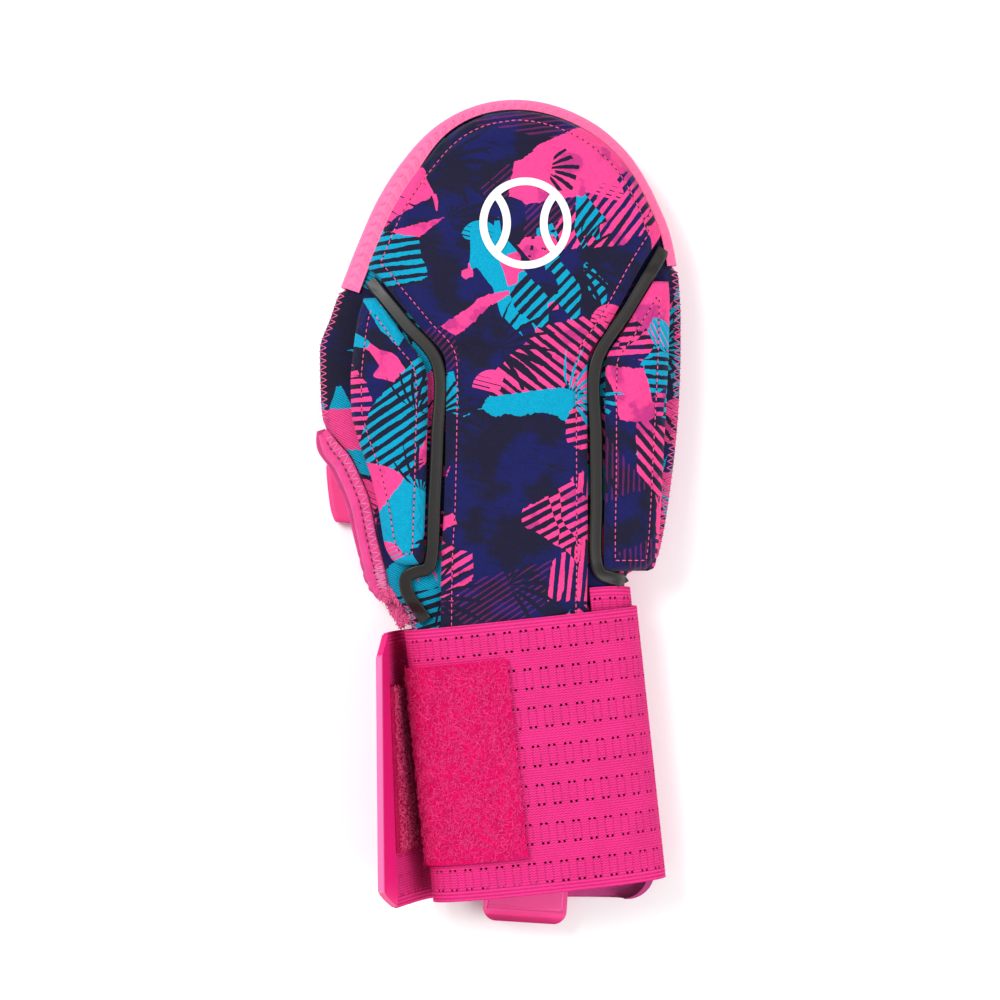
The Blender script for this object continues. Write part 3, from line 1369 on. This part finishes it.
def printed(name, shift, turn, pink, teal, calm=-200.0, ribbed=False):
    """Cloth with a loose print of torn shards, hatched bars, fans and half discs, dark below calm."""
    finish = Finish(name, {"Specular IOR Level": 0.1, "Sheen Weight": 0.05, "Sheen Roughness": 0.5})
    here = finish.place(shift=shift, turn=turn)
    x, y, _ = finish.parts(here)
    fray = finish.noise(here, 1.7, 3) - 0.5
    wander = finish.noise(here, 15, 1) - 0.5
    torn_x, torn_y = x + fray * 1.5 + wander * 8, y - fray * 1.5 + wander * 4
    slant, rise = torn_x * 0.8 + torn_y * 0.6, torn_y * 0.8 - torn_x * 0.6
    (tone, way, kind), _ = finish.cells(finish.joined(slant * 0.66, rise * 1.3), 23)
    slant, rise = x * 0.55 - y * 0.84 + fray, y * 0.55 + x * 0.84 + wander * 3
    (small_tone, _, _), _ = finish.cells(finish.joined(slant * 0.6, rise * 1.5), 13, "MANHATTAN")
    brush = finish.noise(finish.joined(x * 0.25, y * 1.4), 3.5, 3)
    deep = finish.mix((finish.noise(here, 17, 2) + 0.35 * brush).soft(0.6, 0.76), NAVY, BLUE)
    deep = finish.mix(brush.soft(0.58, 0.7) * 0.6, deep, INK)
    _, height, _ = finish.parts(finish.place())
    lively = (height + wander * 36 + fray * 4).above(calm)
    teal_cell = tone.above(0.4) * tone.below(0.4 + teal) + tone.below(0.4) * small_tone.above(0.88)
    teal_cell = teal_cell * lively
    pink_cell = tone.above(1 - pink) * lively + tone.below(0.3) * small_tone.below(0.1)
    rosy = finish.mix(finish.noise(here, 12, 3).soft(0.56, 0.66) * 0.55, PRINT_PINK, VIOLET)
    tint = finish.mix(teal_cell, deep, TEAL)
    tint = finish.mix(pink_cell, tint, rosy)

    cos, sin = (way * 9).cosine(), (way * 9).sine()
    over = x * cos + y * sin
    along = y * cos - x * sin
    stroke = finish.noise(finish.joined(over * 0.9, along * 0.12), 2.4, 2)
    bars = (over * (1 / 3.4) + fray * 0.15).fraction().below(0.1 + stroke * 0.8)
    fine = (over * (1 / 2.0) + fray * 0.2).fraction().below(stroke * 0.65)
    bright = (teal_cell + pink_cell).above(0.5)
    dark = 1 - bright
    tint = finish.mix(bars * bright * kind.above(0.74), tint, NAVY)
    tint = finish.mix(bars * dark * (kind + (1 - lively) * 0.1).above(0.84), tint, rosy)
    tint = finish.mix(fine * dark * kind.below(0.22) * 0.45, tint, VIOLET)
    dry = stroke.above(0.56) * brush.above(0.5)
    tint = finish.mix(dry * bright * kind.below(0.3), tint, NAVY)

    (chosen, fan_tone, _), middle = finish.cells(finish.joined(x + 40, y - 15), 31)
    middle_x, middle_y, _ = finish.parts(middle)
    from_x, from_y = x + 40 - middle_x, y - 15 - middle_y
    radius = finish.distance(from_x, from_y)
    angle = from_x.math("ARCTAN2", from_y, from_x + 4)
    spoke = (angle * (19 / (2 * math.pi)) + radius * 0.02 + fray * 0.2).fraction()
    swept = (from_x * 0.8 + from_y * 0.6).above(-2.0)
    fan = spoke.below(0.72 - radius * 0.036) * radius.above(1.0 + fray * 2) * chosen.above(0.4) * swept
    fan_tint = finish.mix(fan_tone.above(0.62), NAVY, finish.mix(fan_tone.above(0.82), TEAL, PRINT_PINK))
    tint = finish.mix(fan, tint, fan_tint)

    (lit, disc_tone, _), centre = finish.cells(finish.joined(x - 23, y + 61), 42)
    centre_x, centre_y, _ = finish.parts(centre)
    disc_x, disc_y = x - 23 - centre_x, y + 61 - centre_y
    slit = (disc_y * 0.55).fraction().above(0.3 - disc_y * 0.05)
    disc = finish.distance(disc_x, disc_y).below(7.2) * disc_y.above(-1.0) * slit * lit.above(0.4)
    tint = finish.mix(disc, tint, finish.mix(disc_tone.above(0.5), PRINT_PINK, TEAL))

    grain = finish.noise(here, 0.3, 2)
    rib = (y * (2 * math.pi / 0.78) + fray * 1.2).sine() * 0.5 + 0.5
    fleck = finish.noise(here, 0.55, 2).soft(0.35, 0.65)
    tint = finish.shade(tint, fleck, 0.2)
    relief = grain * 0.05 + finish.noise(here, 1.1, 2) * 0.05
    if ribbed:
        tint = finish.shade(tint, rib.soft(0.35, 0.9), 0.45)
        relief = relief + rib * 0.12
    tint = finish.mix(height.below(UNDER_STRAP), tint, colour(16, 12, 22))
    return finish.done(tint, 0.72 + grain * 0.2, relief)


def moulded(name, tint, roughness, mottle=0.03, coat=0.0):
    """Satin moulded rubber, with a faint mottle and the fine grain of its mould."""
    finish = Finish(name, {"Specular IOR Level": 0.35, "Coat Weight": coat, "Coat Roughness": 0.35})
    here = finish.place()
    broad, grain = finish.noise(here, 9, 2), finish.noise(here, 0.35, 2)
    tint = finish.shade(tint, broad.soft(0.35, 0.7), 2 * mottle)
    return finish.done(tint, roughness - 0.05 + grain * 0.14, grain * 0.025)


def knitted(name, tint, pitch, depth=0.08):
    """Plain stretch cloth with a fine slanting knit."""
    finish = Finish(name, {"Specular IOR Level": 0.2, "Sheen Weight": 0.15, "Sheen Roughness": 0.5})
    here = finish.place()
    x, y, z = finish.parts(here)
    loop = ((x + y + z) * (2 * math.pi / pitch)).sine() * ((x - y + z) * (2 * math.pi / pitch)).sine()
    worn = finish.noise(here, 4, 3)
    tone = finish.shade(tint, (loop * 0.5 + 0.5).soft(0.1, 0.9), 0.12)
    tone = finish.shade(tone, worn.soft(0.4, 0.7), 0.12)
    return finish.done(tone, 0.74 + worn * 0.15, loop * depth + worn * 0.1)


def webbing(name, tint, dark):
    """Elastic webbing: fine zigzag rows, corded borders, and faint rungs between the rows of holes."""
    finish = Finish(name, {"Specular IOR Level": 0.1})
    cloth = finish.place("UV")
    along, side, _ = finish.parts(cloth)
    zig = ((along * (1 / 1.5)).fraction() - 0.5).absolute()
    row = ((side * (1 / 0.95) + zig * 0.9) * (2 * math.pi)).sine() * 0.5 + 0.5
    cord = ((side * (1 / 1.3)) * (2 * math.pi)).sine() * 0.5 + 0.5
    last_row = STRAP_WIDTH / 2 - HOLE_MARGIN
    border = side.absolute().soft(last_row - 0.6, last_row + 0.2)
    band = ((side + last_row) * (0.5 / ROW_PITCH)).fraction().below(0.5)
    band = band * (1 - border)
    rung = ((along * (2 / HOLE_PITCH) + 0.12).fraction() - 0.5).absolute().soft(0.06, 0.11)
    dash = (side * (1 / 0.85)).fraction().above(0.4)
    rungs = band * (1 - rung) * dash
    relief = row * (1 - border) * 0.14 + cord * border * 0.16
    fibre = finish.noise(finish.joined(along * 0.6, side * 3), 1.2, 3)
    worn = finish.noise(cloth, 13, 2)
    knit = ((along * (1 / 0.75) + (side * (1 / 0.475)).fraction()) * (2 * math.pi)).sine() * 0.5 + 0.5
    tone = finish.shade(tint, (1 - row) * (1 - border) + (1 - cord) * border, 0.46)
    tone = finish.shade(tone, knit * finish.noise(cloth, 0.8, 1).soft(0.3, 0.6), 0.3)
    tone = finish.shade(tone, worn.soft(0.35, 0.65), 0.07)
    tone = finish.mix(rungs * 0.27, tone, dark)
    return finish.done(tone, 0.74 + fibre * 0.16, relief + fibre * 0.05 - rungs * 0.1)


def piled(name, deep, light, size):
    """The ground of a pile or hook tape, with curly fibres drawn over it."""
    finish = Finish(name, {"Specular IOR Level": 0.03})
    here = finish.place()
    broad, narrow = finish.noise(here, size, 2), finish.noise(here, 0.6 * size, 1)
    curl = 1 - (broad - 0.5).absolute().soft(0.012, 0.05)
    wisp = 1 - (narrow - 0.5).absolute().soft(0.015, 0.06)
    tone = finish.mix(curl * 0.5, deep, light)
    tone = finish.mix(wisp * 0.3, tone, light)
    tone = finish.shade(tone, finish.noise(here, 7, 2).soft(0.4, 0.65), 0.1)
    return finish.done(tone, 0.85 + broad * 0.1, curl * 0.25 + wisp * 0.15)


def edged(name, inner, outer, start, wide):
    """Moulded rubber along the strap's end: one tone, with a lighter edge that starts at a distance."""
    finish = Finish(name, {"Specular IOR Level": 0.35, "Coat Weight": 0.1, "Coat Roughness": 0.35})
    along, _, _ = finish.parts(finish.place("UV"))
    grain = finish.noise(finish.place(), 0.4, 2)
    tone = finish.mix(along.soft(start, start + wide), inner, outer)
    return finish.done(tone, 0.38 + grain * 0.12, grain * 0.02)


def spun(name, tint, shine=0.35):
    """Sewing thread with a slight sheen."""
    finish = Finish(name, {"Specular IOR Level": shine})
    twist = finish.noise(finish.place(), 0.4, 2)
    tint = finish.shade(tint, twist.soft(0.35, 0.65), 0.3)
    return finish.done(tint, 0.45 + twist * 0.2, twist * 0.05)


def dress(piece, material, slot, *nodes):
    """Gives a finished piece its material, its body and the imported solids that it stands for."""
    piece.data.materials.clear()
    piece.data.materials.append(material)
    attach(piece, "root")
    if nodes:
        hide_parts(*nodes)
    return piece


# Pocket
body_print = printed("ribbed_print", (12, 7, 0), 0.5, 0.14, 0.3, ribbed=True)
back = dress(shell("back", BACK_WALL), body_print, "back_shell", "back_shell")
palm_knit = knitted("palm_cloth", colour(240, 84, 164), 0.9)
palm = dress(shell("palm", PALM_WALL), palm_knit, "palm_shell", "palm_shell")
dress(rim(), moulded("pink_rubber", colour(262, 110, 164), 0.5), "rim", "rim")

# Pads, with the rows down each mesh and its columns
tip_rows = tip_steps(26, RIM_LIP_TIP + CLEAR + 0.05, 48)[:-1]
meshes = {
    "centre_pad": (np.concatenate([tip_rows, np.linspace(48, 247.4, 140)]), 96),
    "thumb_pad": (np.linspace(pads["thumb_pad"].start, pads["thumb_pad"].end, 110), 44),
    "outer_pad": (np.linspace(pads["outer_pad"].start, pads["outer_pad"].end, 120), 40),
}
prints = {
    "centre_pad": printed("centre_print", (31, -8, 0), 0.25, 0.26, 0.08, calm=36.0),
    "thumb_pad": printed("thumb_print", (-64, 33, 0), -0.4, 0.32, 0.38),
    "outer_pad": printed("outer_print", (95, 52, 0), 1.1, 0.36, 0.0),
}
panels = {node: pads[node].build(down, columns) for node, (down, columns) in meshes.items()}
for node, panel in panels.items():
    dress(panel, prints[node], node, node)
cloth_top = Surface(back, *panels.values())
black_rubber = moulded("black_rubber", colour(27, 25, 23), 0.42, 0.08, 0.08)
dress(trim("thumb_strip", THUMB_TRIM, -60), black_rubber, "trim", "thumb_trim")
dress(trim("outer_strip", OUTER_TRIM, y_of(0.6065 * LENGTH)), black_rubber, "trim", "outer_trim")

# Thumb hole
tape = knitted("pink_tape", colour(252, 76, 156), 0.8)
bindings = {part: binding_rings(part) for part in ("back", "palm")}
tapes = [
    dress(rolled(f"thumb_tape_{part}", rings), tape, "binding", f"thumb_binding_{part}")
    for part, rings in bindings.items()
]
hot_rubber = moulded("hot_rubber", colour(250, 62, 142), 0.38, 0.03, 0.2)
dress(guard(), hot_rubber, "palm_guard", "palm_guard")

# Emblem
white_film = moulded("white_film", colour(246, 246, 248), 0.5)
dress(ball_emblem(Surface(panels["centre_pad"])), white_film, "emblem", "emblem")

# Strap
strap_cloth = webbing("pink_elastic", colour(270, 58, 152), colour(95, 15, 60))
elastic = dress(strap(), strap_cloth, "strap", "strap")


def pile_relief(distance, side):
    return 0.25 * waves(distance, side, 1.9) + 0.2 * waves(side, distance, 0.9)


patch_face = STRAP_WALL / 2 + CLEAR
pile_top = patch_face + LOOP_WALL
pile_ends = (LOOP_FROM, LOOP_FROM + LOOP_LENGTH)
hook_ends = (CLOTH_END - HOOK_LENGTH, CLOTH_END)
loops = strip("pile_patch", *pile_ends, LOOP_WIDTH / 2, patch_face, pile_top, 0.4, pile_relief)
pile = piled("magenta_pile", colour(244, 0, 100), colour(255, 70, 156), 1.3)
dress(loops, pile, "loop_patch", "loop_patch")
hook_top = -patch_face - HOOK_WALL
hooks = strip("hook_patch_face", *hook_ends, HOOK_WIDTH / 2, hook_top, -patch_face, 0.5, pile_relief)
hook_pile = piled("magenta_hooks", colour(236, 8, 96), colour(238, 90, 150), 0.9)
dress(hooks, hook_pile, "hook_patch", "hook_patch")
tab_half = STRAP_WIDTH / 2 - CLEAR
tab = strip("strap_end_tab", TAB_FROM, PATH_END, tab_half, -TAB_WALL / 2, TAB_WALL / 2, 0.8, None, TAB_TAPER)
tab_rubber = edged("tab_rubber", colour(250, 30, 132), colour(262, 112, 172), PATH_END - 1.9, 0.2)
dress(tab, tab_rubber, "strap_tab", "strap_tab")
pull_rubber = moulded("pull_rubber", colour(276, 84, 168), 0.42, 0.02, 0.1)
dress(pull_tab(), pull_rubber, "pull_tab", "pull_tab")

# Threads
pink_thread = spun("pink_thread", colour(250, 96, 160))
between = {"first": STITCH_LENGTH - 0.05, "length": STITCH_PITCH - STITCH_LENGTH + 0.1}
seams, needle_holes = [], []
for pad in pads.values():
    line = closed(pad.seam)
    seams += running_stitches(cloth_top, line)
    needle_holes += running_stitches(cloth_top, line, **between)
dress(thread_tubes("panel_stitches", seams), pink_thread, "centre_pad")
navy_thread = spun("navy_thread", colour(14, 10, 26))
dress(thread_tubes("panel_needle_holes", needle_holes, 0.2), navy_thread, "centre_pad")
edge_threads = [thread for stretch in OVERLOCK for thread in whip_stitches(**stretch)]
edge_threads += bunched(Surface(back, palm, *tapes), *BUNCH, BUNCH_THREADS, BUNCH_WIDTH)
dress(thread_tubes("edge_threads", edge_threads, 0.2, 5), pink_thread, "back_shell")
crosses = zigzag(bindings["back"], 2, 9, 6, 176, 3.1) + zigzag(bindings["back"], 1, 12, 152, 188, 1.5)
pale_thread = spun("pale_thread", colour(255, 150, 200))
dress(thread_tubes("tape_threads", crosses, 0.17, 5), pale_thread, "binding")
dark_thread = spun("dark_thread", colour(120, 18, 66))
in_groove = groove_stitches(bindings["back"], 10.5, 8, 170, 1.5, 2.5)
dress(thread_tubes("groove_threads", in_groove), dark_thread, "binding")
pile_thread = spun("pile_thread", colour(272, 76, 160), 0.03)
pile_curls = curls(PILE_CURLS, *pile_ends, LOOP_WIDTH - 3.4, pile_top)
dress(thread_tubes("pile_fibres", pile_curls, 0.09, 3), pile_thread, "loop_patch")
hook_thread = spun("hook_thread", colour(272, 96, 160), 0.1)
hook_curls = curls(HOOK_CURLS, *hook_ends, HOOK_WIDTH - 1, hook_top, -1.6, 1.1)
dress(thread_tubes("hook_fibres", hook_curls, 0.11, 3), hook_thread, "hook_patch")

# Floor, lights and camera
bpy.ops.mesh.primitive_plane_add(size=6)
floor = bpy.context.object
floor.name = "floor"
floor.data.materials.append(moulded("pale_floor", (0.95, 0.95, 0.95, 1), 0.9, 0.0))


def soft_light(name, place, size, power):
    light = bpy.data.lights.new(name, "AREA")
    light.size, light.energy = size, power
    holder = bpy.data.objects.new(name, light)
    holder.location = place
    holder.rotation_euler = (-Vector(place)).to_track_quat("-Z", "Y").to_euler()
    bpy.context.scene.collection.objects.link(holder)


soft_light("key_light", (-0.9, 0.7, 1.3), 0.8, 26)
soft_light("fill_light", (1.1, -0.5, 1.2), 1.2, 18)
world = bpy.data.worlds.new("studio")
world.use_nodes = True
world.node_tree.nodes["Background"].inputs["Color"].default_value = (1, 1, 1, 1)
world.node_tree.nodes["Background"].inputs["Strength"].default_value = 0.62
bpy.context.scene.world = world
bpy.context.scene.view_settings.view_transform = "Standard"

# In metres
VIEW_SPAN = 0.375  # across the picture at the height of the seams
CAMERA_HEIGHT = 1.5
CAMERA_Y = 0.0047
lens = bpy.data.cameras.new("camera")
lens.sensor_width = 36
lens.lens = lens.sensor_width * (CAMERA_HEIGHT - SEAM_HEIGHT * MM) / VIEW_SPAN
lens.clip_end = 20
camera = bpy.data.objects.new("camera", lens)
camera.location = (SHIFT[0] * MM, CAMERA_Y, CAMERA_HEIGHT)
bpy.context.scene.collection.objects.link(camera)
bpy.context.scene.camera = camera
